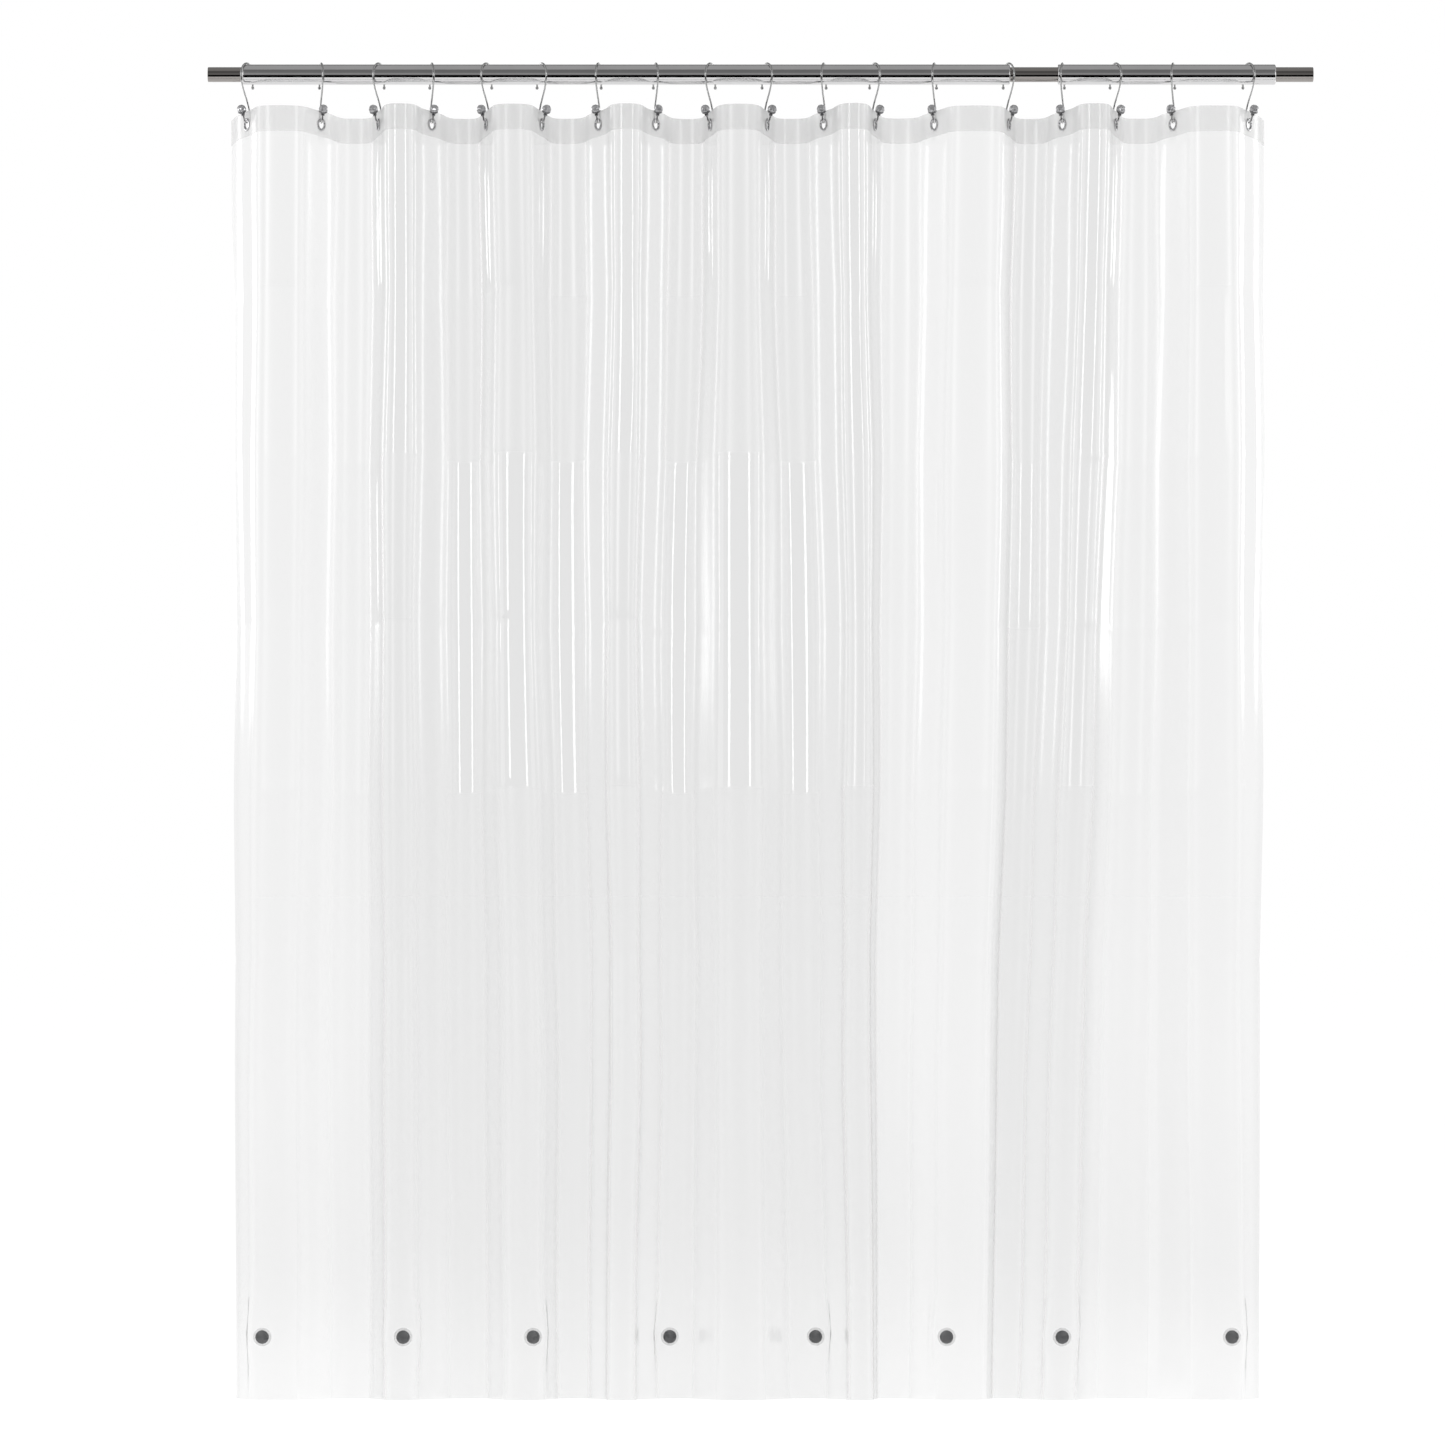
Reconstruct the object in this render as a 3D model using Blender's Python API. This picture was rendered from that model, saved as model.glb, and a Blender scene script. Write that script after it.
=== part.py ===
"""Clear shower curtain on a telescopic rod. Metres, +Z up.

The origin is the middle of the rod, on the rod's axis. +X runs along the rod,
-Y faces the room and the cloth hangs down -Z.
"""

import math

import bmesh
import bpy
from mathutils import Matrix, Vector
from mathutils.geometry import interpolate_bezier

GAP = 0.0003                  # left between pieces that touch

# Rod: two outer tubes on one inner tube, and a neck in each outer end
ROD_LENGTH = 1.569
ROD_RADIUS = 0.0143
ROD_WALL = 0.0009
ROD_LIP = 0.005               # length of the rolled-in mouth of an outer tube
INNER_RADIUS = 0.0105
INNER_WALL = 0.0012
LEFT_TUBE = (-0.735, 0.354)
RIGHT_TUBE = (0.422, 0.731)
INNER_TUBE = (0.100, 0.650)
NECK_INSERT = 0.012           # how far a neck reaches into its outer tube
PLUG_LENGTH = 0.015
ROD_SEGMENTS = 20

# Cloth: one flat sheet with a welded header band
GROMMET_PITCH = 0.1524
SHEET_TOP = -0.052
SHEET_HEIGHT = 1.829
SHEET_THICKNESS = 0.00025
HEADER_HEIGHT = 0.036
HEADER_THICKNESS = 0.0003
LIFT = 0.092                  # rise of the cloth per metre that it stands forward

# Hooks along the rod: the first one's place, the gaps after it, and which of
# them turn hard, where the cloth stands almost square to the rod
FIRST_HOOK = -0.729
HOOK_GAPS = (0.105, 0.082, 0.075, 0.078, 0.078, 0.081, 0.081, 0.078, 0.080,
             0.081, 0.072, 0.085, 0.105, 0.077, 0.075, 0.082, 0.107)
HARD_HOOKS = (1, 3, 5, 6, 9, 10, 12, 14, 16, 18)
HARD_SLOPE, SOFT_SLOPE = math.radians(73), math.radians(57)
END_SLOPE = math.radians(60)   # at the first and the last hook
HARD_TURN, SOFT_TURN = math.radians(45), math.radians(22)
TURN_AT_ROD = 0.5             # share of that turn that the hook has at the rod

# Folds
PAD = 0.0105                  # flat cloth each side of a grommet's centre
CREST_SHIFT = 0.10            # of a gap, towards its hard hook
CREST_PULL, HOOK_PULL = 0.85, 0.52   # Bezier handles, as shares of their spans
FOLD_STEPS = 5                # straight pieces in a quarter fold
FLAP_REACH = (0.027, 0.070)   # how far an end flap goes outwards and back

# Grommets
GROMMET_Z = -0.071
HOLE_RADIUS = 0.0060
BARREL_RADIUS = 0.0067
FLANGE_RADIUS = 0.0090
FLANGE_THICKNESS = 0.0008
GROMMET_SEGMENTS = 10

# Hooks: a wire bent in one plane, then twisted; forward and up from the rod
WIRE_RADIUS = 0.0013
LOOP_HALF_DEPTH = 0.0192
LOOP_HALF_HEIGHT = 0.0174
LOOP_CENTRE_Z = ROD_RADIUS + GAP + WIRE_RADIUS - LOOP_HALF_HEIGHT
KNOB_RADIUS = 0.0023
KNOB_AT = (-0.0152, -0.0178)
SHANK = ((0.0146, -0.0150), (-0.0036, -0.0490))
BEND_RADIUS = 0.0059
BEND_Z = -0.0624
BALL_RADIUS = 0.0068
BALL_AT = (0.0105, -0.0480)
TWIST_FROM, TWIST_TO = -0.012, -0.045

# Magnets near the hem: the gap each one is in, how far along its cloth, and how
# far sideways the fold has drifted there on its way down
MAGNETS = ((1, 0.40, -0.0114), (3, 0.52, 0.0), (5, 0.58, 0.0174), (8, 0.46, -0.0184),
           (10, 0.56, 0.0258), (13, 0.38, -0.0221), (15, 0.54, -0.0540), (17, 0.62, 0.007))
EDGE_DRIFT = 0.006            # how far the hem's two corners drift inwards
MAGNET_RADIUS = 0.0095
MAGNET_THICKNESS = 0.0025
MAGNET_Z = SHEET_TOP - SHEET_HEIGHT + 0.089
MAGNET_STAND_OFF = {"forward": 0.0022, "back": 0.0066}
DRIFT_TOP = SHEET_TOP - 0.050   # the folds hang plumb above this

HEADER_OFFSET = (SHEET_THICKNESS + HEADER_THICKNESS) / 2 + GAP
GROOVE = (-SHEET_THICKNESS / 2 - GAP, HEADER_OFFSET + HEADER_THICKNESS / 2 + GAP)


def material(name, color, roughness, metallic=0.0, alpha=1.0):
    made = bpy.data.materials.new(name)
    made.use_nodes = True
    shader = made.node_tree.nodes["Principled BSDF"]
    shader.inputs["Base Color"].default_value = (*color, 1.0)
    shader.inputs["Roughness"].default_value = roughness
    shader.inputs["Metallic"].default_value = metallic
    shader.inputs["Alpha"].default_value = alpha
    return made


def add_object(name, data, look):
    data.materials.append(look)
    made = bpy.data.objects.new(name, data)
    bpy.context.scene.collection.objects.link(made)
    return made


def finish_mesh(name, shape, look):
    bmesh.ops.recalc_face_normals(shape, faces=shape.faces)
    mesh = bpy.data.meshes.new(name)
    shape.to_mesh(mesh)
    shape.free()
    mesh.shade_smooth()
    mesh.set_sharp_from_angle(angle=math.radians(35))
    return add_object(name, mesh, look)


def turned(name, outline, look, segments, place):
    """Spin a closed outline of (along, radius) points about the local X axis."""
    shape = bmesh.new()
    verts = [shape.verts.new((along, 0.0, radius)) for along, radius in outline]
    edges = [shape.edges.new((verts[i - 1], verts[i])) for i in range(len(verts))]
    bmesh.ops.spin(shape, geom=verts + edges, cent=(0, 0, 0), axis=(1, 0, 0),
                   angle=2 * math.pi, steps=segments, use_merge=True)
    made = finish_mesh(name, shape, look)
    made.matrix_world = place
    return made


def cylinder(name, radius, length, look, segments, place, bevel):
    shape = bmesh.new()
    bmesh.ops.create_cone(shape, cap_ends=True, segments=segments, radius1=radius,
                          radius2=radius, depth=length)
    made = finish_mesh(name, shape, look)
    made.matrix_world = place
    edge = made.modifiers.new("edge", "BEVEL")
    edge.width = bevel
    edge.segments = 1
    edge.limit_method = "ANGLE"
    return made


# ---- Rod

def tube_outline(start, end, radius, wall):
    return [(start, radius - wall), (start, radius), (end, radius), (end, radius - wall)]


def lipped_outline(start, end, radius, wall, mouth):
    """A tube whose two ends are rolled in to the mouth's radius."""
    inside = radius - wall
    return [(start, mouth), (start, radius - wall), (start + wall, radius),
            (end - wall, radius), (end, radius - wall), (end, mouth),
            (end - ROD_LIP, mouth), (end - ROD_LIP, inside),
            (start + ROD_LIP, inside), (start + ROD_LIP, mouth)]


def make_rod(chrome, dark_chrome, rubber):
    still = Matrix.Identity(4)
    mouth = INNER_RADIUS + GAP
    for name, span in (("rod_left_tube", LEFT_TUBE), ("rod_right_tube", RIGHT_TUBE)):
        outline = lipped_outline(*span, ROD_RADIUS, ROD_WALL, mouth)
        turned(name, outline, chrome, ROD_SEGMENTS, still)
    outline = tube_outline(*INNER_TUBE, INNER_RADIUS, INNER_WALL)
    turned("rod_inner_tube", outline, dark_chrome, ROD_SEGMENTS, still)

    end = ROD_LENGTH / 2
    necks = (("rod_left_neck", -end, LEFT_TUBE[0] + NECK_INSERT),
             ("rod_right_neck", RIGHT_TUBE[1] - NECK_INSERT, end))
    for name, start, stop in necks:
        outline = tube_outline(start, stop, INNER_RADIUS, INNER_WALL)
        turned(name, outline, dark_chrome, ROD_SEGMENTS, still)
    for name, side in (("rod_left_plug", -1), ("rod_right_plug", 1)):
        along = side * (end - PLUG_LENGTH / 2)
        place = Matrix.Translation((along, 0, 0)) @ Matrix.Rotation(math.pi / 2, 4, "Y")
        radius = INNER_RADIUS - INNER_WALL - GAP
        cylinder(name, radius, PLUG_LENGTH, rubber, ROD_SEGMENTS, place, 0.0006)


# ---- Path of the cloth, seen from above

def hook_places():
    places = [FIRST_HOOK]
    for gap in HOOK_GAPS:
        places.append(places[-1] + gap)
    return places


def side_of(number):
    """-1 where the cloth left of the hook is behind it, +1 where it is in front."""
    return -1 if number % 2 else 1


def is_hard(number):
    return number in HARD_HOOKS


def tangent(number):
    """Direction of the cloth, left to right, as it passes hook number 1, 2, ..."""
    if number in (1, len(HOOK_GAPS) + 1):
        slope = END_SLOPE
    else:
        slope = HARD_SLOPE if is_hard(number) else SOFT_SLOPE
    return Vector((math.cos(slope), side_of(number) * math.sin(slope)))


def front_normal(direction):
    return Vector((direction.y, -direction.x))


def half_wave(number, depth):
    """Points between the pads of hook number and the next one, crest included."""
    places = hook_places()
    start, stop = Vector((places[number - 1], 0)), Vector((places[number], 0))
    leave, arrive = tangent(number), tangent(number + 1)
    first, last = start + PAD * leave, stop - PAD * arrive
    gap = stop.x - start.x
    shift = CREST_SHIFT * (is_hard(number + 1) - is_hard(number))
    crest = Vector((start.x + gap * (0.5 + shift), side_of(number) * depth))
    points = []
    for begin, end, begin_way, end_way in (
            (first, crest, leave, Vector((1, 0))),
            (crest, last, Vector((1, 0)), arrive)):
        across = abs(end.x - begin.x)
        reach = (end - begin).length
        pull = [CREST_PULL * across if way.y == 0 else HOOK_PULL * reach
                for way in (begin_way, end_way)]
        part = interpolate_bezier(begin, begin + begin_way * pull[0],
                                  end - end_way * pull[1], end, FOLD_STEPS + 1)
        points += [Vector(p[:2]) for p in part][len(points) > 0:]
    return points


def length_of(points):
    return sum((b - a).length for a, b in zip(points, points[1:]))


def fitted_wave(number):
    """The half wave whose cloth, with its two pads, is one grommet pitch long."""
    low, high = 0.02, 0.09
    for _ in range(30):
        depth = (low + high) / 2
        if length_of(half_wave(number, depth)) + 2 * PAD < GROMMET_PITCH:
            low = depth
        else:
            high = depth
    return half_wave(number, low)


def flap(number):
    """The loose end beyond the first or the last hook, from the hook outwards."""
    side = -1 if number == 1 else 1
    outward = tangent(number) * side
    start = Vector((hook_places()[number - 1], 0))
    first = start + PAD * outward
    end = start + Vector((side * FLAP_REACH[0], FLAP_REACH[1]))
    pull = 0.35 * (end - first).length
    part = interpolate_bezier(first, first + outward * pull,
                              end - Vector((side * 0.3, 0.95)) * pull, end,
                              FOLD_STEPS + 1)
    return [Vector(p[:2]) for p in part]


def cloth_path():
    last = len(HOOK_GAPS) + 1
    path = flap(1)[::-1]
    for number in range(1, last):
        path.append(Vector((hook_places()[number - 1], 0)))
        path += fitted_wave(number)
    path.append(Vector((hook_places()[-1], 0)))
    return path + flap(last)


def offset_path(path, distance):
    """The same path moved forward by a distance, measured square to it."""
    moved = []
    for i, point in enumerate(path):
        before = (point - path[max(i - 1, 0)]).normalized()
        after = (path[min(i + 1, len(path) - 1)] - point).normalized()
        way = (before + after).normalized()
        sides = [d for d in (before, after) if d.length > 0]
        share = front_normal(way).dot(front_normal(sides[0]))
        moved.append(point + front_normal(way) * distance / share)
    return moved


# ---- Cloth

def hem_drift(x):
    """How far sideways the hem lies from the place x of the top edge above it."""
    ends = [flap(1)[-1].x, flap(len(HOOK_GAPS) + 1)[-1].x]
    knots = [(ends[0], EDGE_DRIFT)]
    knots += [(point_along(gap, share)[0].x, drift) for gap, share, drift in MAGNETS]
    knots += [(ends[1], -EDGE_DRIFT)]
    for (start, first), (stop, last) in zip(knots, knots[1:]):
        if x <= stop:
            return first + (last - first) * (x - start) / (stop - start)
    return knots[-1][1]


def drift_share(height):
    """Part of the hem's drift that the cloth has at a height."""
    return max(0.0, (DRIFT_TOP - height) / (DRIFT_TOP - SHEET_TOP + SHEET_HEIGHT))


def hanging_wall(name, path, top, bottom, thickness, look):
    """A strip of cloth along the path, its crests lifted and its lower part drifted."""
    shape = bmesh.new()
    verts = [shape.verts.new((p.x, p.y, top - LIFT * p.y)) for p in path]
    edges = [shape.edges.new(pair) for pair in zip(verts, verts[1:])]
    levels = [top, DRIFT_TOP, bottom] if bottom < DRIFT_TOP else [top, bottom]
    for upper, lower in zip(levels, levels[1:]):
        drawn = bmesh.ops.extrude_edge_only(shape, edges=edges)["geom"]
        row = [part for part in drawn if isinstance(part, bmesh.types.BMVert)]
        edges = [part for part in drawn if isinstance(part, bmesh.types.BMEdge)
                 and all(end in row for end in part.verts)]
        bmesh.ops.translate(shape, verts=row, vec=(0, 0, lower - upper))
        for vert in row:
            vert.co.x += hem_drift(vert.co.x) * drift_share(lower)
    made = finish_mesh(name, shape, look)
    body = made.modifiers.new("thickness", "SOLIDIFY")
    body.thickness = thickness
    body.offset = 0.0
    body.use_even_offset = True
    return made


def grommet_place(number):
    """Local X leaves the front of the cloth at the middle of the hole."""
    way = front_normal(tangent(number))
    turn = Matrix.Rotation(math.atan2(way.y, way.x), 4, "Z")
    return Matrix.Translation((hook_places()[number - 1], 0, GROMMET_Z)) @ turn


def hole_cutter():
    radius = (BARREL_RADIUS + GAP) / math.cos(math.pi / GROMMET_SEGMENTS)
    shape = bmesh.new()
    for number in range(1, len(HOOK_GAPS) + 2):
        place = grommet_place(number) @ Matrix.Rotation(math.pi / 2, 4, "Y")
        bmesh.ops.create_cone(shape, cap_ends=True, segments=GROMMET_SEGMENTS,
                              radius1=radius, radius2=radius, depth=0.012,
                              matrix=place)
    made = finish_mesh("hole_cutter", shape, material("cutter", (1, 0, 0), 0.5))
    made.hide_render = True
    made.display_type = "WIRE"
    return made


def make_cloth(vinyl, frosted):
    path = cloth_path()
    cutter = hole_cutter()
    sheet = hanging_wall("curtain_sheet", path, SHEET_TOP, SHEET_TOP - SHEET_HEIGHT,
                         SHEET_THICKNESS, vinyl)
    header = hanging_wall("header_band", offset_path(path, HEADER_OFFSET), SHEET_TOP,
                          SHEET_TOP - HEADER_HEIGHT, HEADER_THICKNESS, frosted)
    for cloth in (sheet, header):
        holes = cloth.modifiers.new("holes", "BOOLEAN")
        holes.operation = "DIFFERENCE"
        holes.solver = "EXACT"
        holes.object = cutter


def make_grommets(steel):
    back, front = GROOVE
    outline = [(back - FLANGE_THICKNESS, HOLE_RADIUS),
               (back - FLANGE_THICKNESS, FLANGE_RADIUS), (back, FLANGE_RADIUS),
               (back, BARREL_RADIUS), (front, BARREL_RADIUS), (front, FLANGE_RADIUS),
               (front + FLANGE_THICKNESS, FLANGE_RADIUS),
               (front + FLANGE_THICKNESS, HOLE_RADIUS)]
    for number in range(1, len(HOOK_GAPS) + 2):
        turned(f"grommet_{number:02d}", outline, steel, GROMMET_SEGMENTS,
               grommet_place(number))


# ---- Hooks

def hook_wire():
    """Points of the wire as (forward, up, radius), from the knob to the ball."""
    knob = Vector(KNOB_AT)
    points = [(knob.x + 0.0008, knob.y - 0.0020, KNOB_RADIUS * 0.5),
              (knob.x, knob.y, KNOB_RADIUS),
              (knob.x - 0.0010, knob.y + 0.0024, WIRE_RADIUS)]
    for degrees in range(-105, 106, 21):
        angle = math.radians(degrees)
        points.append((LOOP_HALF_DEPTH * math.sin(angle),
                       LOOP_CENTRE_Z + LOOP_HALF_HEIGHT * math.cos(angle), WIRE_RADIUS))
    points += [(forward, up, WIRE_RADIUS) for forward, up in SHANK]
    for degrees in range(180, 361, 36):
        angle = math.radians(degrees)
        points.append((BEND_RADIUS * math.cos(angle), BEND_Z + BEND_RADIUS * math.sin(angle),
                       WIRE_RADIUS))
    ball = Vector(BALL_AT)
    way = (ball - Vector((BEND_RADIUS, BEND_Z))).normalized()
    for along, share in ((-0.98, 0.22), (-0.62, 0.78), (0.0, 1.0), (0.62, 0.78), (0.98, 0.2)):
        centre = ball + way * BALL_RADIUS * along
        points.append((centre.x, centre.y, BALL_RADIUS * share))
    return points


def turn_at(up, full_turn):
    """The hook's turn about the vertical, which grows from the rod to the grommet."""
    share = (TWIST_FROM - up) / (TWIST_FROM - TWIST_TO)
    share = min(max(share, 0.0), 1.0)
    return full_turn * (TURN_AT_ROD + (1 - TURN_AT_ROD) * share)


def make_hook(number, chrome):
    side = side_of(number)
    full_turn = HARD_TURN if is_hard(number) else SOFT_TURN
    wire = bpy.data.curves.new(f"hook_{number:02d}", "CURVE")
    wire.dimensions = "3D"
    wire.bevel_depth = 0.001
    wire.bevel_resolution = 1
    wire.use_fill_caps = True
    points = hook_wire()
    spline = wire.splines.new("POLY")
    spline.points.add(len(points) - 1)
    for point, (forward, up, radius) in zip(spline.points, points):
        turn = turn_at(up, full_turn)
        point.co = (side * forward * math.sin(turn), -forward * math.cos(turn), up, 1)
        point.radius = radius / wire.bevel_depth
    made = add_object(wire.name, wire, chrome)
    made.location = (hook_places()[number - 1], 0, 0)


def make_hooks(chrome):
    for number in range(1, len(HOOK_GAPS) + 2):
        make_hook(number, chrome)


# ---- Magnets

def point_along(gap_number, share):
    """A place on the cloth between two hooks and the cloth's direction there."""
    start, stop = (Vector((hook_places()[n], 0)) for n in (gap_number - 1, gap_number))
    points = [start] + fitted_wave(gap_number) + [stop]
    left = share * length_of(points)
    for a, b in zip(points, points[1:]):
        step = (b - a).length
        if left <= step:
            return a.lerp(b, left / step), (b - a).normalized()
        left -= step


def make_magnets(dark):
    for number, (gap_number, share, drift) in enumerate(MAGNETS, 1):
        point, way = point_along(gap_number, share)
        point.x += drift * drift_share(MAGNET_Z)
        normal = front_normal(way)
        forward = "forward" if gap_number % 2 else "back"
        centre = point + normal * (MAGNET_STAND_OFF[forward])
        height = MAGNET_Z - LIFT * point.y
        turn = Matrix.Rotation(math.atan2(normal.y, normal.x), 4, "Z")
        place = Matrix.Translation((centre.x, centre.y, height)) @ turn
        place = place @ Matrix.Rotation(math.pi / 2, 4, "Y")
        cylinder(f"magnet_{number}", MAGNET_RADIUS, MAGNET_THICKNESS, dark, 16, place, 0.0004)


def main():
    for old in list(bpy.data.objects):
        bpy.data.objects.remove(old)
    chrome = material("polished chrome", (0.72, 0.72, 0.74), 0.12, metallic=1.0)
    make_rod(chrome, material("dark chrome", (0.45, 0.44, 0.44), 0.10, metallic=1.0),
             material("rod plug", (0.08, 0.08, 0.08), 0.7))
    make_cloth(material("clear vinyl", (0.90, 0.91, 0.92), 0.08, alpha=0.25),
               material("frosted header", (0.80, 0.81, 0.82), 0.35, alpha=0.6))
    make_grommets(material("grommet steel", (0.62, 0.62, 0.64), 0.25, metallic=1.0))
    make_hooks(material("hook wire", (0.62, 0.62, 0.64), 0.18, metallic=1.0))
    make_magnets(material("magnet", (0.10, 0.10, 0.11), 0.45))


main()
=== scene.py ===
import math

import bpy
import numpy as np
from mathutils import Matrix, Vector
from mathutils.geometry import interpolate_bezier


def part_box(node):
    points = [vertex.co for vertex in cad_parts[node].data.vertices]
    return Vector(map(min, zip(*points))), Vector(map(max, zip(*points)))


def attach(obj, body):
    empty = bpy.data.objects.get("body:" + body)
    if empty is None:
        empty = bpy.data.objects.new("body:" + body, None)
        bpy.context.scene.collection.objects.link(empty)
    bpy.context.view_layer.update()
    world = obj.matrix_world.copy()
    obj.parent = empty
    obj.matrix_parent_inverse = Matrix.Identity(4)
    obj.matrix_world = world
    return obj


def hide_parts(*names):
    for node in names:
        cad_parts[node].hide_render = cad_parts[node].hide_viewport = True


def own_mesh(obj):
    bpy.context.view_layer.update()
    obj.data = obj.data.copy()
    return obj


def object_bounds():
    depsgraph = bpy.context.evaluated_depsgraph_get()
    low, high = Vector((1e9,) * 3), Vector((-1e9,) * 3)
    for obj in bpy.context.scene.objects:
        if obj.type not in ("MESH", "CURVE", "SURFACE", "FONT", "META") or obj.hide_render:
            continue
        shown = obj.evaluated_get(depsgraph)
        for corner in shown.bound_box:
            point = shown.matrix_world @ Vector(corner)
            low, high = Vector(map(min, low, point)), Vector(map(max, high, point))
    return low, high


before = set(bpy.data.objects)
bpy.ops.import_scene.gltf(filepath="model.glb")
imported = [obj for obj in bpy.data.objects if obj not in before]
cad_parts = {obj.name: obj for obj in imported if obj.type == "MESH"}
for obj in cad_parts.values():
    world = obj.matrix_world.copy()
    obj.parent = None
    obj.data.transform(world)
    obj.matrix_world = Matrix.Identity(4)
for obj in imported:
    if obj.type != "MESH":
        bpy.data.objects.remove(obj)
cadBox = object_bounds()
hookCount = sum(name.startswith("hook_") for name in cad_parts)
nearAxis = 1e-5  # an outline that ends on the axis stops this far from it


def toggleEdit():
    bpy.ops.object.editmode_toggle()


def selectNothing():
    bpy.ops.object.select_all(action="DESELECT")


def selectOnly(piece):
    selectNothing()
    piece.select_set(True)
    bpy.context.view_layer.objects.active = piece


def applyModifiers(piece):
    selectOnly(piece)
    for modifier in list(piece.modifiers):
        bpy.ops.object.modifier_apply(modifier=modifier.name)


def settle(piece, place):
    # puts a piece where it goes with its place in its mesh
    piece.data.transform(place)
    piece.matrix_world = Matrix.Identity(4)
    piece.data.update()


def copyPiece(piece, name):
    made = piece.copy()
    made.data = piece.data.copy()
    made.name = name
    bpy.context.scene.collection.objects.link(made)
    return made


def giveLook(piece, look):
    piece.data.materials.clear()
    piece.data.materials.append(look)


def smoothByAngle(piece, degrees):
    selectOnly(piece)
    bpy.ops.object.shade_smooth_by_angle(angle=math.radians(degrees))


def centreOf(node):
    low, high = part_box(node)
    return (low + high) / 2


# turns a closed outline of (along, radius) points about the X axis
def turnOutline(name, outline, steps, smoothAngle=30):
    selectNothing()
    bpy.ops.mesh.primitive_circle_add(vertices=len(outline), radius=1.0, fill_type="NOTHING")
    piece = bpy.context.active_object
    piece.name = name
    for vertex, (along, radius) in zip(piece.data.vertices, outline):
        vertex.co = (along, 0.0, radius)
    toggleEdit()
    bpy.ops.mesh.select_all(action="SELECT")
    bpy.ops.mesh.spin(steps=steps, angle=2 * math.pi, center=(0, 0, 0), axis=(1, 0, 0))
    bpy.ops.mesh.select_all(action="SELECT")
    bpy.ops.mesh.remove_doubles(threshold=1e-6)
    bpy.ops.mesh.normals_make_consistent(inside=False)
    toggleEdit()
    smoothByAngle(piece, smoothAngle)
    return piece


def arcPoints(centre, radius, start, stop, count):
    # points on an arc in the (along, radius) plane, angles in degrees from the along axis
    points = []
    for i in range(count):
        angle = math.radians(start + (stop - start) * i / (count - 1))
        points.append((centre[0] + radius * math.cos(angle), centre[1] + radius * math.sin(angle)))
    return points


# materials

def newLook(name):
    look = bpy.data.materials.new(name)
    look.use_nodes = True
    return look, look.node_tree.nodes, look.node_tree.links


def addNode(nodes, kind, **values):
    node = nodes.new(kind)
    for key, value in values.items():
        if hasattr(node, key):
            setattr(node, key, value)
        else:
            node.inputs[key.replace("_", " ")].default_value = value
    return node


def noiseOn(nodes, links, coords, stretch, scale, detail=3.0, rough=0.5):
    mapping = addNode(nodes, "ShaderNodeMapping")
    mapping.inputs["Scale"].default_value = stretch
    links.new(coords, mapping.inputs["Vector"])
    noise = addNode(nodes, "ShaderNodeTexNoise", Scale=scale, Detail=detail, Roughness=rough)
    links.new(mapping.outputs["Vector"], noise.inputs["Vector"])
    return noise.outputs["Fac"]


def bumpFrom(nodes, links, height, strength, distance, normal=None):
    bump = addNode(nodes, "ShaderNodeBump", Strength=strength, Distance=distance)
    links.new(height, bump.inputs["Height"])
    if normal:
        links.new(normal, bump.inputs["Normal"])
    return bump.outputs["Normal"]


def spread(nodes, links, value, low, high):
    ranged = addNode(nodes, "ShaderNodeMapRange")
    ranged.inputs["To Min"].default_value = low
    ranged.inputs["To Max"].default_value = high
    links.new(value, ranged.inputs["Value"])
    return ranged.outputs["Result"]


# a grain is its stretch and scale, then its detail and roughness where they matter
metals = {
    "rodChrome": {"color": (0.66, 0.655, 0.66), "roughness": 0.07,
                  "grain": ((0.05, 1, 1), 900.0), "bump": 0.00002},
    # the same chrome as the outer tubes with a darker colour: painted shade that stands in for darker
    # reflections on the inner tube and necks
    "rodChromePaintedShade": {"color": (0.33, 0.312, 0.30), "roughness": 0.06,
                      "grain": ((0.05, 1, 1), 900.0), "bump": 0.00002},
    "hookWire": {"color": (0.45, 0.45, 0.45), "roughness": 0.14,
                 "grain": ((1, 1, 1), 1400.0), "bump": 0.00001},
    "grommetSteel": {"color": (0.60, 0.60, 0.61), "roughness": 0.20,
                     "grain": ((1, 1, 1), 1800.0), "bump": 0.00002},
    "hookCap": {"color": (0.20, 0.20, 0.205), "roughness": 0.24,
                "grain": ((1, 1, 1), 1800.0), "bump": 0.00005},
}
metalWear = {"roughSpan": (0.6, 1.5), "darkest": 0.90, "patches": ((1, 1, 1), 35.0, 2.0),
             "bumpStrength": 0.25}


def metalLook(name):
    values = metals[name]
    look, nodes, links = newLook(name)
    shader = nodes["Principled BSDF"]
    shader.inputs["Metallic"].default_value = 1.0
    coords = addNode(nodes, "ShaderNodeTexCoord").outputs["Object"]
    fine = noiseOn(nodes, links, coords, *values["grain"])
    broad = noiseOn(nodes, links, coords, *metalWear["patches"])
    low, high = (values["roughness"] * share for share in metalWear["roughSpan"])
    links.new(spread(nodes, links, fine, low, high), shader.inputs["Roughness"])
    tint = addNode(nodes, "ShaderNodeMix", data_type="RGBA")
    tint.inputs["A"].default_value = (*[c * metalWear["darkest"] for c in values["color"]], 1)
    tint.inputs["B"].default_value = (*values["color"], 1)
    links.new(broad, tint.inputs["Factor"])
    links.new(tint.outputs["Result"], shader.inputs["Base Color"])
    normal = bumpFrom(nodes, links, fine, metalWear["bumpStrength"], values["bump"])
    links.new(normal, shader.inputs["Normal"])
    return look


# the two films: the see-through tint runs from the darker to the lighter value over the cloth as painted
# light and shade, not a clearer film; the gloss runs from dull to smooth
vinyl = {
    "tint": 0.825, "paintedLitTint": 0.925, "haze": 0.05, "hazeColor": 0.88, "roughness": 0.03,
    "dullRoughness": 0.37, "faceGloss": 0.085, "edgeGloss": 1.0, "drawn": 0.00015, "dimple": 0.00002,
}
frosted = {
    "tint": 0.90, "paintedLitTint": 0.90, "haze": 0.62, "hazeColor": 0.80, "roughness": 0.09,
    "dullRoughness": 0.26, "faceGloss": 0.05, "edgeGloss": 0.22, "drawn": 0.0002, "dimple": 0.00012,
}
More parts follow.
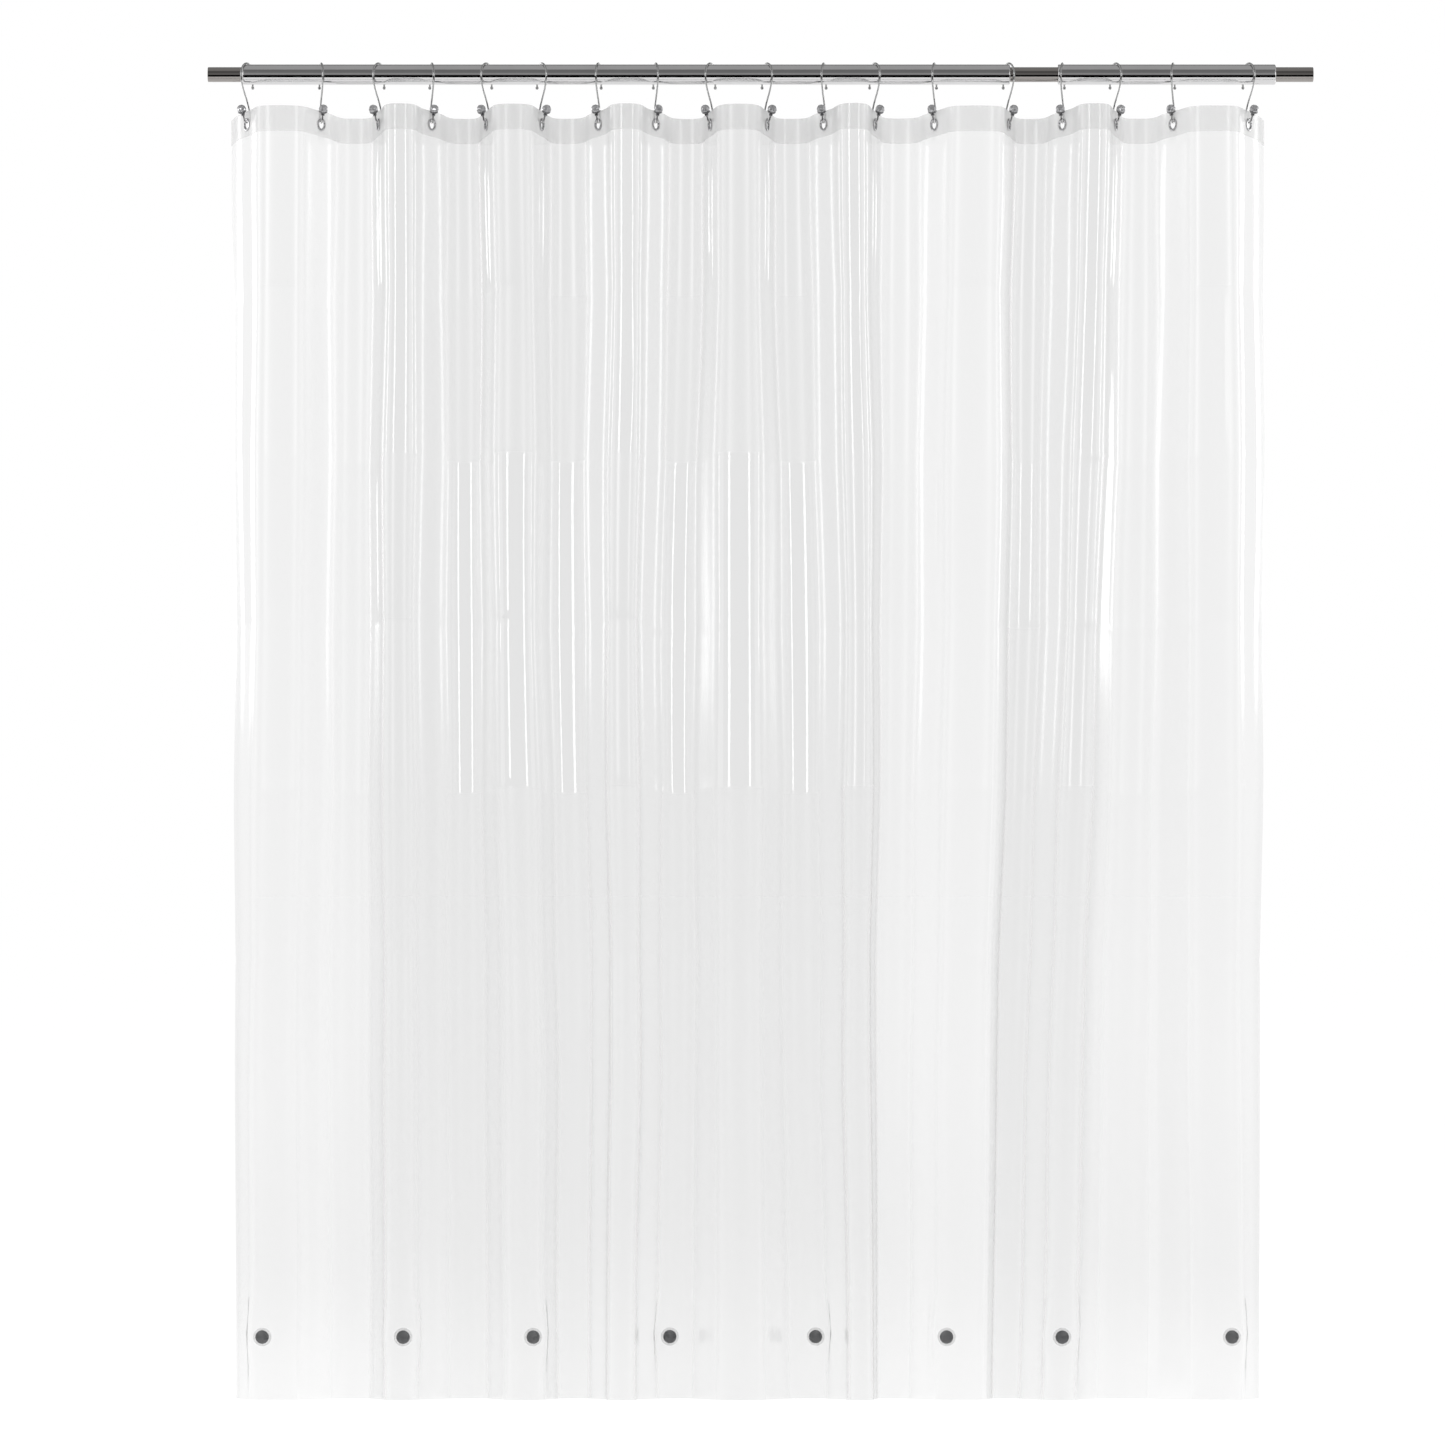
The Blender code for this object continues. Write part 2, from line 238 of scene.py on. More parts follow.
# grain of a film: long drawn streaks, small dimples and a cloudy haze
filmGrain = {
    "drawn": ((1, 1, 0.08), 80.0, 2.0), "dimples": ((1, 1, 0.45), 260.0, 3.0, 0.55),
    "clouds": ((1, 1, 0.5), 6.0, 2.0), "hazeSpan": (0.6, 1.4), "bumpStrength": 0.5,
}


def glossShare(nodes, links, normal, values):
    # Schlick's curve, from the face-on share to the one at a grazing view
    weight = addNode(nodes, "ShaderNodeLayerWeight", Blend=0.5)
    links.new(normal, weight.inputs["Normal"])
    power = addNode(nodes, "ShaderNodeMath", operation="POWER")
    links.new(weight.outputs["Facing"], power.inputs[0])
    power.inputs[1].default_value = 5.0
    return spread(nodes, links, power.outputs[0], values["faceGloss"], values["edgeGloss"])


def clearLook(name, values):
    # light meets both faces of the thin film, so only the outer one takes part in the look
    look, nodes, links = newLook(name)
    nodes.remove(nodes["Principled BSDF"])
    coords = addNode(nodes, "ShaderNodeTexCoord").outputs["Object"]
    streaks = noiseOn(nodes, links, coords, *filmGrain["drawn"])
    dimples = noiseOn(nodes, links, coords, *filmGrain["dimples"])
    streaked = bumpFrom(nodes, links, streaks, filmGrain["bumpStrength"], values["drawn"])
    normal = bumpFrom(nodes, links, dimples, filmGrain["bumpStrength"], values["dimple"], streaked)
    # the share of painted light: a lighter see-through tint in the panels painted as lit
    share = addNode(nodes, "ShaderNodeAttribute", attribute_name="paintedLightShare").outputs["Fac"]
    tint = addNode(nodes, "ShaderNodeMix", data_type="RGBA")
    tint.inputs[6].default_value = (*[values["tint"]] * 3, 1)
    tint.inputs[7].default_value = (*[values["paintedLitTint"]] * 3, 1)
    links.new(share, tint.inputs["Factor"])
    clear = addNode(nodes, "ShaderNodeBsdfTransparent")
    links.new(tint.outputs[2], clear.inputs["Color"])
    milk = addNode(nodes, "ShaderNodeBsdfDiffuse")
    milk.inputs["Color"].default_value = (*[values["hazeColor"]] * 3, 1)
    through = addNode(nodes, "ShaderNodeBsdfTranslucent")
    through.inputs["Color"].default_value = (*[values["hazeColor"]] * 3, 1)
    haze = addNode(nodes, "ShaderNodeMixShader")
    links.new(milk.outputs[0], haze.inputs[1])
    links.new(through.outputs[0], haze.inputs[2])
    body = addNode(nodes, "ShaderNodeMixShader")
    cloud = noiseOn(nodes, links, coords, *filmGrain["clouds"])
    thin, thick = (values["haze"] * share for share in filmGrain["hazeSpan"])
    links.new(spread(nodes, links, cloud, thin, thick), body.inputs[0])
    links.new(clear.outputs[0], body.inputs[1])
    links.new(haze.outputs[0], body.inputs[2])
    gloss = addNode(nodes, "ShaderNodeBsdfGlossy")
    shine = addNode(nodes, "ShaderNodeAttribute", attribute_name="shine").outputs["Fac"]
    links.new(spread(nodes, links, shine, values["dullRoughness"], values["roughness"]),
              gloss.inputs["Roughness"])
    links.new(normal, gloss.inputs["Normal"])
    outer = addNode(nodes, "ShaderNodeMixShader")
    links.new(glossShare(nodes, links, normal, values), outer.inputs[0])
    links.new(body.outputs[0], outer.inputs[1])
    links.new(gloss.outputs[0], outer.inputs[2])
    inner = addNode(nodes, "ShaderNodeBsdfTransparent")
    whole = addNode(nodes, "ShaderNodeMixShader")
    links.new(addNode(nodes, "ShaderNodeNewGeometry").outputs["Backfacing"], whole.inputs[0])
    links.new(outer.outputs[0], whole.inputs[1])
    links.new(inner.outputs[0], whole.inputs[2])
    links.new(whole.outputs[0], nodes["Material Output"].inputs["Surface"])
    return look


rubber = {"color": (0.030, 0.030, 0.032), "roughness": 0.6, "speckle": 0.25,
          "grain": ((1, 1, 1), 700.0, 4.0, 0.6), "bump": 0.00005, "metallic": 0.0, "coat": 0.0}
ferrite = {"color": (0.052, 0.054, 0.058), "roughness": 0.42, "speckle": 0.35,
           "grain": ((1, 1, 1), 1100.0, 4.0, 0.6), "bump": 0.00004, "metallic": 0.0, "coat": 0.0}
crystal = {"color": (0.36, 0.36, 0.37), "roughness": 0.05, "speckle": 0.45,
           "grain": ((1, 1, 1), 420.0, 4.0, 0.6), "bump": 0.00012, "metallic": 0.55, "coat": 1.0}
plainWear = {"roughSpan": (0.7, 1.3), "bumpStrength": 0.3, "coatRoughness": 0.03}


def plainLook(name, values):
    look, nodes, links = newLook(name)
    shader = nodes["Principled BSDF"]
    shader.inputs["Metallic"].default_value = values["metallic"]
    shader.inputs["Coat Weight"].default_value = values["coat"]
    shader.inputs["Coat Roughness"].default_value = plainWear["coatRoughness"]
    coords = addNode(nodes, "ShaderNodeTexCoord").outputs["Object"]
    grain = noiseOn(nodes, links, coords, *values["grain"])
    tint = addNode(nodes, "ShaderNodeMix", data_type="RGBA")
    tint.inputs["A"].default_value = (*[c * (1 - values["speckle"]) for c in values["color"]], 1)
    tint.inputs["B"].default_value = (*[c * (1 + values["speckle"]) for c in values["color"]], 1)
    links.new(grain, tint.inputs["Factor"])
    links.new(tint.outputs["Result"], shader.inputs["Base Color"])
    low, high = (values["roughness"] * share for share in plainWear["roughSpan"])
    links.new(spread(nodes, links, grain, low, high), shader.inputs["Roughness"])
    normal = bumpFrom(nodes, links, grain, plainWear["bumpStrength"], values["bump"])
    links.new(normal, shader.inputs["Normal"])
    return look


chromeLook = metalLook("rodChrome")
chromePaintedShadeLook = metalLook("rodChromePaintedShade")
wireLook = metalLook("hookWire")
steelLook = metalLook("grommetSteel")
capLook = metalLook("hookCap")
vinylLook = clearLook("clearVinyl", vinyl)
headerLook = clearLook("frostedHeader", frosted)
rubberLook = plainLook("plugRubber", rubber)
magnetLook = plainLook("magnetFerrite", ferrite)
crystalLook = plainLook("hookCrystal", crystal)
print("materials made")

# rod: outer tubes with rolled mouths, inner tube, necks and plugs

rod = {"steps": 96, "mouthRound": 0.0016, "mouthSteps": 7, "mouthDepth": 0.005, "mouthGap": 0.0003,
       "wall": 0.0009, "innerWall": 0.0012, "chamfer": 0.0004, "plugRecess": 0.0022,
       "plugDish": (0.45, 0.55, 0.60)}  # shares of the plug's radius: floor, slope and rim


def tubeSize(node):
    low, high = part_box(node)
    return low.x, high.x, (high.z - low.z) / 2


def outerTube(node, mouth):
    start, end, radius = tubeSize(node)
    bend, depth, inside = rod["mouthRound"], rod["mouthDepth"], radius - rod["wall"]
    outline = [(start, mouth)]
    outline += arcPoints((start + bend, radius - bend), bend, 180, 90, rod["mouthSteps"])
    outline += arcPoints((end - bend, radius - bend), bend, 90, 0, rod["mouthSteps"])
    outline += [(end, mouth), (end - depth, mouth), (end - depth, inside),
                (start + depth, inside), (start + depth, mouth)]
    return turnOutline(node + "_finish", outline, rod["steps"])


def plainTube(node):
    start, end, radius = tubeSize(node)
    edge, inside = rod["chamfer"], radius - rod["innerWall"]
    outline = [(start, inside), (start, radius - edge), (start + edge, radius),
               (end - edge, radius), (end, radius - edge), (end, inside)]
    return turnOutline(node + "_finish", outline, rod["steps"])


def endPlug(node):
    start, end, radius = tubeSize(node)
    outer, inner = (start, end) if start < 0 else (end, start)
    inward = math.copysign(1.0, inner - outer)
    edge, recess = rod["chamfer"], rod["plugRecess"]
    floor, slope, rim = (radius * share for share in rod["plugDish"])
    outline = [(outer + inward * recess, nearAxis), (outer + inward * recess, floor),
               (outer + inward * edge, slope), (outer, rim),
               (outer, radius - edge), (outer + inward * edge, radius),
               (inner - inward * edge, radius), (inner, radius - edge), (inner, nearAxis)]
    return turnOutline(node + "_finish", outline, rod["steps"])


def makeRod():
    innerRadius = tubeSize("rod_inner_tube")[2]
    mouth = innerRadius + rod["mouthGap"]
    jobs = (("rod_left_tube", "rod", chromeLook, "rod_chrome", lambda n: outerTube(n, mouth)),
            ("rod_right_tube", "rod_extension", chromeLook, "rod_chrome", lambda n: outerTube(n, mouth)),
            ("rod_inner_tube", "rod", chromePaintedShadeLook, "rod_dark_chrome", plainTube),
            ("rod_left_neck", "rod", chromePaintedShadeLook, "rod_dark_chrome", plainTube),
            ("rod_right_neck", "rod_extension", chromePaintedShadeLook, "rod_dark_chrome", plainTube),
            ("rod_left_plug", "rod", rubberLook, "rod_plug", endPlug),
            ("rod_right_plug", "rod_extension", rubberLook, "rod_plug", endPlug))
    for node, body, look, slotName, build in jobs:
        piece = build(node)
        giveLook(piece, look)
        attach(piece, body)
        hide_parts(node)


makeRod()
print("rod made")

# path of the cloth seen from above, as the frame has it

cloth = {
    # the sheet as it was cut, and the header
    "flat": (2.743, 1.829), "thickness": 0.00025, "columns": 500, "rows": 40, "smoothAngle": 40,
    "closestColumns": 0.0012, "topAboveHoles": 0.019, "holeRadius": 0.0068, "holeSides": 28,
    "cutterDepth": 0.014,
    "headerHeight": 0.036, "headerThickness": 0.0003, "headerRows": 9, "headerStand": 0.0003,
    # the path: flat beside each hook, and steeper at the hard hooks than at the others
    "pitch": 0.1524, "pad": 0.0105, "hardHooks": (1, 3, 5, 6, 9, 10, 12, 14, 16, 18),
    "hardSlope": math.radians(73), "softSlope": math.radians(57), "endSlope": math.radians(60),
    "crestShift": 0.10, "crestPull": 0.85, "hookPull": 0.52, "grooveMiddle": 0.0003,
    "waveSteps": 24, "waveDepths": (0.02, 0.09),
    "flapReach": (0.027, 0.070), "flapPull": 0.35, "flapEnd": (0.3, 0.95), "flapSteps": 16,
    # magnets: the hook they come after, and the share of the way to the next one
    "magnetPlaces": ((1, 0.40), (3, 0.52), (5, 0.58), (8, 0.46),
                     (10, 0.56), (13, 0.38), (15, 0.54), (17, 0.62)),
    # painted light and shade in the film's see-through tint: lighter panels by hook number along the top
    # edge, and how that changes down the cloth
    "paintedLightShare": ((1, 1), (2.4, 0.95), (2.95, 0.3), (3.1, 0), (11.9, 0), (12.5, 0.85), (13.9, 1), (14.05, 0),
                  (15.9, 0.1), (16.1, 0.75), (18, 1)),
    # low down the painted tint gets lighter everywhere, and the lighter panels get darker towards the hem
    "lowPaintedLight": 0.14, "lowPaintedLightSpan": (0.9, 1.3), "hemPaintedShade": 0.5, "hemPaintedShadeSpan": (1.25, 1.7),
    # spots along the cloth, by hook number, that are smooth enough to mirror the lights: one share for
    # each packed panel from the top
    "packedPanels": 9, "shineSpan": (0.15, 0.27), "sideShine": 0.55, "sideSpan": (0.2, 0.34),
    "shine": (
        (1.0, (0.7, 0.9, 0.8, 0.5)), (1.5, (0.3, 0.2, 0.1, 0.0)), (2.5, (0.1, 0.1, 0.0, 0.0)),
        (3.0, (0.9, 1.0, 1.0, 0.5)), (3.5, (1.0, 1.0, 0.3, 0.2)), (4.5, (0.2, 0.0, 1.0, 1.0)),
        (5.0, (1.0, 0.2, 0.0, 0.0)), (5.5, (0.2, 0.1, 1.0, 1.0)), (6.0, (1.0, 0.2, 0.0, 0.0)),
        (6.5, (0.3, 0.0, 1.0, 1.0)), (7.5, (1.0, 1.0, 0.4, 0.3)), (8.5, (0.3, 0.0, 1.0, 1.0)),
        (9.0, (1.0, 0.2, 0.0, 0.0)), (9.5, (0.2, 0.1, 1.0, 1.0)), (10.0, (1.0, 0.2, 0.0, 0.0)),
        (10.5, (0.3, 0.0, 1.0, 1.0)), (11.5, (1.0, 1.0, 0.6, 0.5)), (12.0, (0.9, 1.0, 1.0, 0.3)),
        (12.5, (0.2, 0.1, 0.0, 0.0)), (13.5, (0.1, 0.1, 0.0, 0.0)), (14.0, (0.6, 0.5, 0.9, 0.2)),
        (14.5, (0.4, 0.3, 0.7, 0.2)), (15.5, (1.0, 1.0, 0.6, 0.5)), (16.0, (0.9, 1.0, 1.0, 0.5)),
        (16.5, (0.1, 0.1, 0.0, 0.0)), (17.5, (0.3, 0.2, 0.1, 0.0)), (18.0, (0.7, 0.9, 0.8, 0.5)),
    ),
}


def sideOf(number):
    return -1 if number % 2 else 1


def isHard(number):
    return number in cloth["hardHooks"]


def wayAt(number):
    slope = cloth["hardSlope"] if isHard(number) else cloth["softSlope"]
    if number in (1, hookCount):
        slope = cloth["endSlope"]
    return Vector((math.cos(slope), sideOf(number) * math.sin(slope)))


def frontOf(way):
    return Vector((way.y, -way.x))


def hookPlace(number):
    centre = centreOf(f"grommet_{number:02d}").xy
    return centre - frontOf(wayAt(number)) * cloth["grooveMiddle"]


hookPlaces = {number: hookPlace(number) for number in range(1, hookCount + 1)}


def halfWave(number, depth, steps):
    start, stop = hookPlaces[number], hookPlaces[number + 1]
    leave, arrive = wayAt(number), wayAt(number + 1)
    first, last = start + cloth["pad"] * leave, stop - cloth["pad"] * arrive
    gap = stop.x - start.x
    shift = cloth["crestShift"] * (isHard(number + 1) - isHard(number))
    crest = Vector((start.x + gap * (0.5 + shift), sideOf(number) * depth))
    along = Vector((1, 0))
    points = []
    for begin, end, beginWay, endWay in ((first, crest, leave, along), (crest, last, along, arrive)):
        across, reach = abs(end.x - begin.x), (end - begin).length
        pulls = [cloth["crestPull"] * across if way.y == 0 else cloth["hookPull"] * reach
                 for way in (beginWay, endWay)]
        part = interpolate_bezier(begin, begin + beginWay * pulls[0], end - endWay * pulls[1],
                                  end, steps + 1)
        points += [Vector(p[:2]) for p in part][len(points) > 0:]
    return points


def lengthOf(points):
    return sum((b - a).length for a, b in zip(points, points[1:]))


def fittedWave(number):
    # a half wave as deep as the cloth between two hooks lets it be
    steps = cloth["waveSteps"]
    low, high = cloth["waveDepths"]
    for _ in range(24):
        depth = (low + high) / 2
        if lengthOf(halfWave(number, depth, steps)) + 2 * cloth["pad"] < cloth["pitch"]:
            low = depth
        else:
            high = depth
    return halfWave(number, low, steps)


def flapPoints(number):
    side = -1 if number == 1 else 1
    outward = wayAt(number) * side
    start = hookPlaces[number]
    first = start + cloth["pad"] * outward
    reach = cloth["flapReach"]
    end = start + Vector((side * reach[0], reach[1]))
    pull = cloth["flapPull"] * (end - first).length
    endWay = Vector((side * cloth["flapEnd"][0], cloth["flapEnd"][1]))
    part = interpolate_bezier(first, first + outward * pull, end - endWay * pull, end, cloth["flapSteps"])
    return [Vector(p[:2]) for p in part]


def clothPath():
    path = flapPoints(1)[::-1]
    for number in range(1, hookCount):
        path.append(hookPlaces[number])
        path += fittedWave(number)
    path.append(hookPlaces[hookCount])
    path += flapPoints(hookCount)
    line = np.array([tuple(p) for p in path])
    lengths = np.concatenate([[0], np.cumsum(np.linalg.norm(np.diff(line, axis=0), axis=1))])
    return line, lengths


pathLine, pathLengths = clothPath()


def alongPath(flatPlaces):
    # places on the path and the front normals there, for distances along the flat cloth
    x = np.interp(flatPlaces, pathLengths, pathLine[:, 0])
    y = np.interp(flatPlaces, pathLengths, pathLine[:, 1])
    wayX, wayY = np.gradient(x, flatPlaces), np.gradient(y, flatPlaces)
    size = np.hypot(wayX, wayY)
    return np.stack([x, y], 1), np.stack([wayY / size, -wayX / size], 1)


def flatPlaceOf(point):
    # distance along the flat cloth of the place nearest to a point seen from above
    return pathLengths[np.argmin(np.hypot(pathLine[:, 0] - point[0], pathLine[:, 1] - point[1]))]


def easeIn(value, low, high):
    share = np.clip((value - low) / (high - low), 0, 1)
    return share * share * (3 - 2 * share)


def ripple(across, down, acrossPitch, downPitch, seed):
    # smooth random waves between -1 and 1 on a grid of the given pitches
    a, d = across / acrossPitch, down / downPitch
    shape = (int(a.max()) + 3, int(d.max()) + 3)
    grid = np.random.default_rng(seed).uniform(-1, 1, shape)
    i, j = np.floor(a).astype(int), np.floor(d).astype(int)
    u, v = easeIn(a - i, 0, 1), easeIn(d - j, 0, 1)
    top = grid[i, j] * (1 - u) + grid[i + 1, j] * u
    low = grid[i, j + 1] * (1 - u) + grid[i + 1, j + 1] * u
    return top * (1 - v) + low * v


hookFlat = np.array([flatPlaceOf(hookPlaces[n]) for n in range(1, hookCount + 1)])

# how the cloth hangs; spans are distances down from its top edge, from nothing to the full effect, and
# waves are a pitch across, a pitch down and a seed
hang = {
    "lift": 0.092, "driftTop": 0.050, "edgeDrift": 0.006,
    "free": (0.02, 0.55), "slack": (0.02, 0.42), "slackEnds": (1.1, 1.65), "slackShare": 0.13,
    "settles": (1.3, 1.68), "depthShare": 0.07, "depthWaves": (0.16, 0.8, 3),
    "sideways": 0.006, "sideWaves": (0.21, 0.7, 5), "softHeight": 0.0007, "softWaves": (0.085, 0.45, 13),
    "looseFromHook": 0.03, "looseSpan": (0.03, 0.10), "hemCalm": 0.75, "calmAboveHem": (0.75, 0.3),
    "crease": 0.236, "creaseTop": 0.022, "creaseHeight": 0.0011, "creaseRun": 0.005, "creaseRow": 0.005,
    "creaseSpan": (0.06, 0.12), "creaseWaves": (0.05, 1.0, 17), "lastCrease": 0.05,
    "panelBow": 0.0016, "bowSpan": (0.05, 0.2), "foldPitch": 0.1714, "foldBow": 0.0007,
}
drawn = {
    "count": 14, "width": (0.0022, 0.0040), "height": (0.0004, 0.0008), "slant": 0.007, "bands": 4,
    "taper": 0.035, "startsWithin": 0.05, "stopsWithin": 0.11, "seed": 8, "fromSides": 0.02,
    "highest": 0.045, "pinchedHooks": (3, 5, 6, 9, 10, 12, 16), "pinchAway": 0.011, "pinchWidth": 0.0034,
    "pinchHeight": 0.0012, "pinchStop": 0.25, "pinchSlant": 0.005,
}


def findDrawnLines():
    # fine lines that the folds draw in the film: place, width, height, start, stop, slant
    dice = np.random.default_rng(drawn["seed"])
    lines = []
    for _ in range(drawn["count"]):
        band = int(dice.integers(0, drawn["bands"]))
        place = dice.uniform(drawn["fromSides"], pathLengths[-1] - drawn["fromSides"])
        width, height = dice.uniform(*drawn["width"]), dice.uniform(*drawn["height"])
        panelTop = hang["creaseTop"] + band * hang["crease"]
        start = max(panelTop + dice.uniform(0, drawn["startsWithin"]), drawn["highest"])
        stop = panelTop + hang["crease"] - dice.uniform(0, drawn["stopsWithin"])
        lines.append((place, width, height, start, stop, dice.uniform(-1, 1) * drawn["slant"]))
    # a pair runs down from each hook that pinches the cloth
    for number in drawn["pinchedHooks"]:
        for side in (-1, 1):
            lines.append((hookFlat[number - 1] + side * drawn["pinchAway"], drawn["pinchWidth"],
                          drawn["pinchHeight"], drawn["highest"], drawn["pinchStop"],
                          -side * drawn["pinchSlant"]))
    return lines


lineList = findDrawnLines()


def drawnLines(across, down):
    total = np.zeros_like(across)
    for place, width, height, start, stop, slant in lineList:
        middle = place + slant * (down - start) / (stop - start)
        shape = np.exp(-((across - middle) / width) ** 2)
        total += (height * shape * easeIn(down, start, start + drawn["taper"])
                  * easeIn(-down, -stop, drawn["taper"] - stop))
    return total


def clothColumns():
    places = set(np.linspace(0, pathLengths[-1], cloth["columns"] + 1).round(4))
    for place, width, *_, slant in lineList:
        places |= {round(place + slant / 2 + step * width, 4) for step in (-2, -1, 0, 1, 2)}
    kept = []
    for place in sorted(places):
        if not kept or place - kept[-1] > cloth["closestColumns"]:
            kept.append(place)
    return np.clip(np.array(kept), 0, pathLengths[-1])


def zigzag(value, pitch):
    # straight-sided waves between -1 and 1, with a corner at each multiple of the pitch
    return 2 * np.abs((value / pitch) % 2 - 1) - 1


clothTop = centreOf("grommet_01").z + cloth["topAboveHoles"]


def findMagnets():
    # each magnet's place along the flat cloth, its centre, and how far its fold has drifted sideways
    spots = []
    for number, (gap, share) in enumerate(cloth["magnetPlaces"], 1):
        centre = centreOf(f"magnet_{number}")
        flatPlace = hookFlat[gap - 1] + share * (hookFlat[gap] - hookFlat[gap - 1])
        above = np.interp(flatPlace, pathLengths, pathLine[:, 0])
        spots.append((flatPlace, centre, centre.x - above))
    return spots


magnetSpots = findMagnets()


def hemDrift(across):
    # the folds lean sideways, so that the hem runs where the magnets are
    knots = [(0.0, hang["edgeDrift"])] + [(spot[0], spot[2]) for spot in magnetSpots]
    knots.append((pathLengths[-1], -hang["edgeDrift"]))
    drift = np.zeros_like(across)
    for (start, first), (stop, last) in zip(knots, knots[1:]):
        here = (across >= start) & (across <= stop + 1e-9)
        drift[here] = (first + (last - first) * easeIn(across, start, stop))[here]
    return drift


def clothSurface(flatX, drop):
    # grid of points of the hung cloth: flatX along the cut, drop down from its top edge
    base, front = alongPath(flatX)
    across, down = np.meshgrid(flatX, drop, indexing="ij")
    x, y = (np.repeat(base[:, k:k + 1], len(drop), 1) for k in (0, 1))
    nx, ny = (np.repeat(front[:, k:k + 1], len(drop), 1) for k in (0, 1))
    height = cloth["flat"][1]
    free = easeIn(down, *hang["free"])
    slack = easeIn(down, *hang["slack"]) * (1 - easeIn(down, *hang["slackEnds"]))
    settled = 1 - easeIn(down, *hang["settles"])
    deeper = 1 - hang["slackShare"] * slack
    deeper += hang["depthShare"] * free * settled * ripple(across, down, *hang["depthWaves"])
    drift = hang["sideways"] * free * settled * ripple(across, down, *hang["sideWaves"])
    nearHook = np.min(np.abs(across[:, :, None] - hookFlat), axis=2)
    loose = easeIn(nearHook, cloth["pad"], hang["looseFromHook"]) + easeIn(down, *hang["looseSpan"])
    loose = np.clip(loose, 0, 1)
    proud = drawnLines(across, down)
    proud += hang["softHeight"] * free * ripple(across, down, *hang["softWaves"])
    # creases left by the packing: bowed panels with a slight ridge between them
    packed = down - hang["creaseTop"]
    proud += hang["panelBow"] * zigzag(packed, hang["crease"]) * easeIn(down, *hang["bowSpan"])
    proud += hang["foldBow"] * zigzag(across, hang["foldPitch"])
    offLine = np.abs((packed / hang["crease"] + 0.5) % 1 - 0.5) * hang["crease"]
    ridge = np.exp(-offLine / hang["creaseRun"]) * easeIn(down, *hang["creaseSpan"])
    proud += hang["creaseHeight"] * ridge * ripple(across, down, *hang["creaseWaves"])
    calmFrom, calmTo = (height - above for above in hang["calmAboveHem"])
    proud *= loose * (1 - hang["hemCalm"] * easeIn(down, calmFrom, calmTo))
    x, y = x + drift + nx * proud, y * deeper + ny * proud
    x += hemDrift(across) * np.clip((down - hang["driftTop"]) / (height - hang["driftTop"]), 0, 1)
    z = clothTop - down - hang["lift"] * np.repeat(base[:, 1:2], len(drop), 1)
    return across, down, np.stack([x, y, z], 2)


magnet = {
    "radius": 0.0095, "half": 0.00125, "edge": 0.0004, "film": 0.0003, "weld": 0.0130, "ring": 0.0006,
    "seat": 0.0018, "flatSpan": (0.013, 0.045), "sideStep": 0.004, "steps": 56, "smoothAngle": 40,
    # the pocket's film: along from the disc's top or the weld's face, out from the disc's side
    "topGap": 0.0003, "weldGap": 0.0001,
    "underTop": ((0.0, -0.0004), (-0.0004, 0.0003)), "underSide": ((0.0006, 0.0009), (0.0, 0.0016)),
    "overSide": ((0.0003, 0.0019), (0.0008, 0.0012)), "overTop": ((-0.0002, 0.0006), (0.0003, -0.0002)),
    "ringSpan": (0.0008, 0.0017),
}


def frontAt(flatPlace):
    # the path's place and its front normal at one distance along the flat cloth
    base, front = alongPath(flatPlace + np.array([-1, 0, 1]) * magnet["sideStep"])
    return base[1], front[1]


def settleRoundMagnets(across, down, points):
    # the cloth lies flat behind each magnet
    for flatPlace, centre, _ in magnetSpots:
        base, front = frontAt(flatPlace)
        normal = np.array([*front, 0.0])
        rest = np.array(centre) - normal * magnet["seat"]
        dropHere = clothTop - centre.z - hang["lift"] * base[1]
        away = np.hypot(across - flatPlace, down - dropHere)
        share = (1 - easeIn(away, *magnet["flatSpan"]))[:, :, None]
        flatWay = np.array([-normal[1], normal[0], 0.0])
        flatSpot = rest + flatWay * (across - flatPlace)[:, :, None]
        flatSpot[:, :, 2] = points[:, :, 2]
        points += (flatSpot - points) * share
    return points


def shineOver(flatX, drop):
    # rows down the cloth, columns along it; the sides of the folds always shine a little
    panels = np.zeros((cloth["packedPanels"], len(flatX)))
    for place, shares in cloth["shine"]:
        middle = np.interp(place, range(1, hookCount + 1), hookFlat)
        near = 1 - easeIn(np.abs(flatX - middle) / cloth["pitch"], *cloth["shineSpan"])
        panels[:len(shares)] += np.outer(shares, near)
    inner = flatX.clip(hookFlat[0], hookFlat[-1])
    offHook = np.min(np.abs(inner[:, None] - hookFlat), axis=1) / cloth["pitch"]
    sides = cloth["sideShine"] * (1 - easeIn(offHook, *cloth["sideSpan"]))
    panels = np.maximum(panels.clip(0, 1), sides)
    return panels[((drop - hang["creaseTop"]) // hang["crease"]).astype(int).clip(0)]


# painted light and shade: a share that lightens the film's see-through tint in chosen panels, lighter low
# down and darker towards the hem in the lighter panels
def paintedLightOver(flatX, drop):
    hooksAt = np.interp([knot[0] for knot in cloth["paintedLightShare"]], range(1, hookCount + 1), hookFlat)
    clear = np.interp(flatX, hooksAt, [knot[1] for knot in cloth["paintedLightShare"]])
    hemShadeShare = 1 - cloth["hemPaintedShade"] * easeIn(drop, *cloth["hemPaintedShadeSpan"])[:, None]
    clear = np.tile(clear, (len(drop), 1)) * hemShadeShare
    clear += cloth["lowPaintedLight"] * easeIn(drop, *cloth["lowPaintedLightSpan"])[:, None]
    return np.clip(clear, 0, 1)


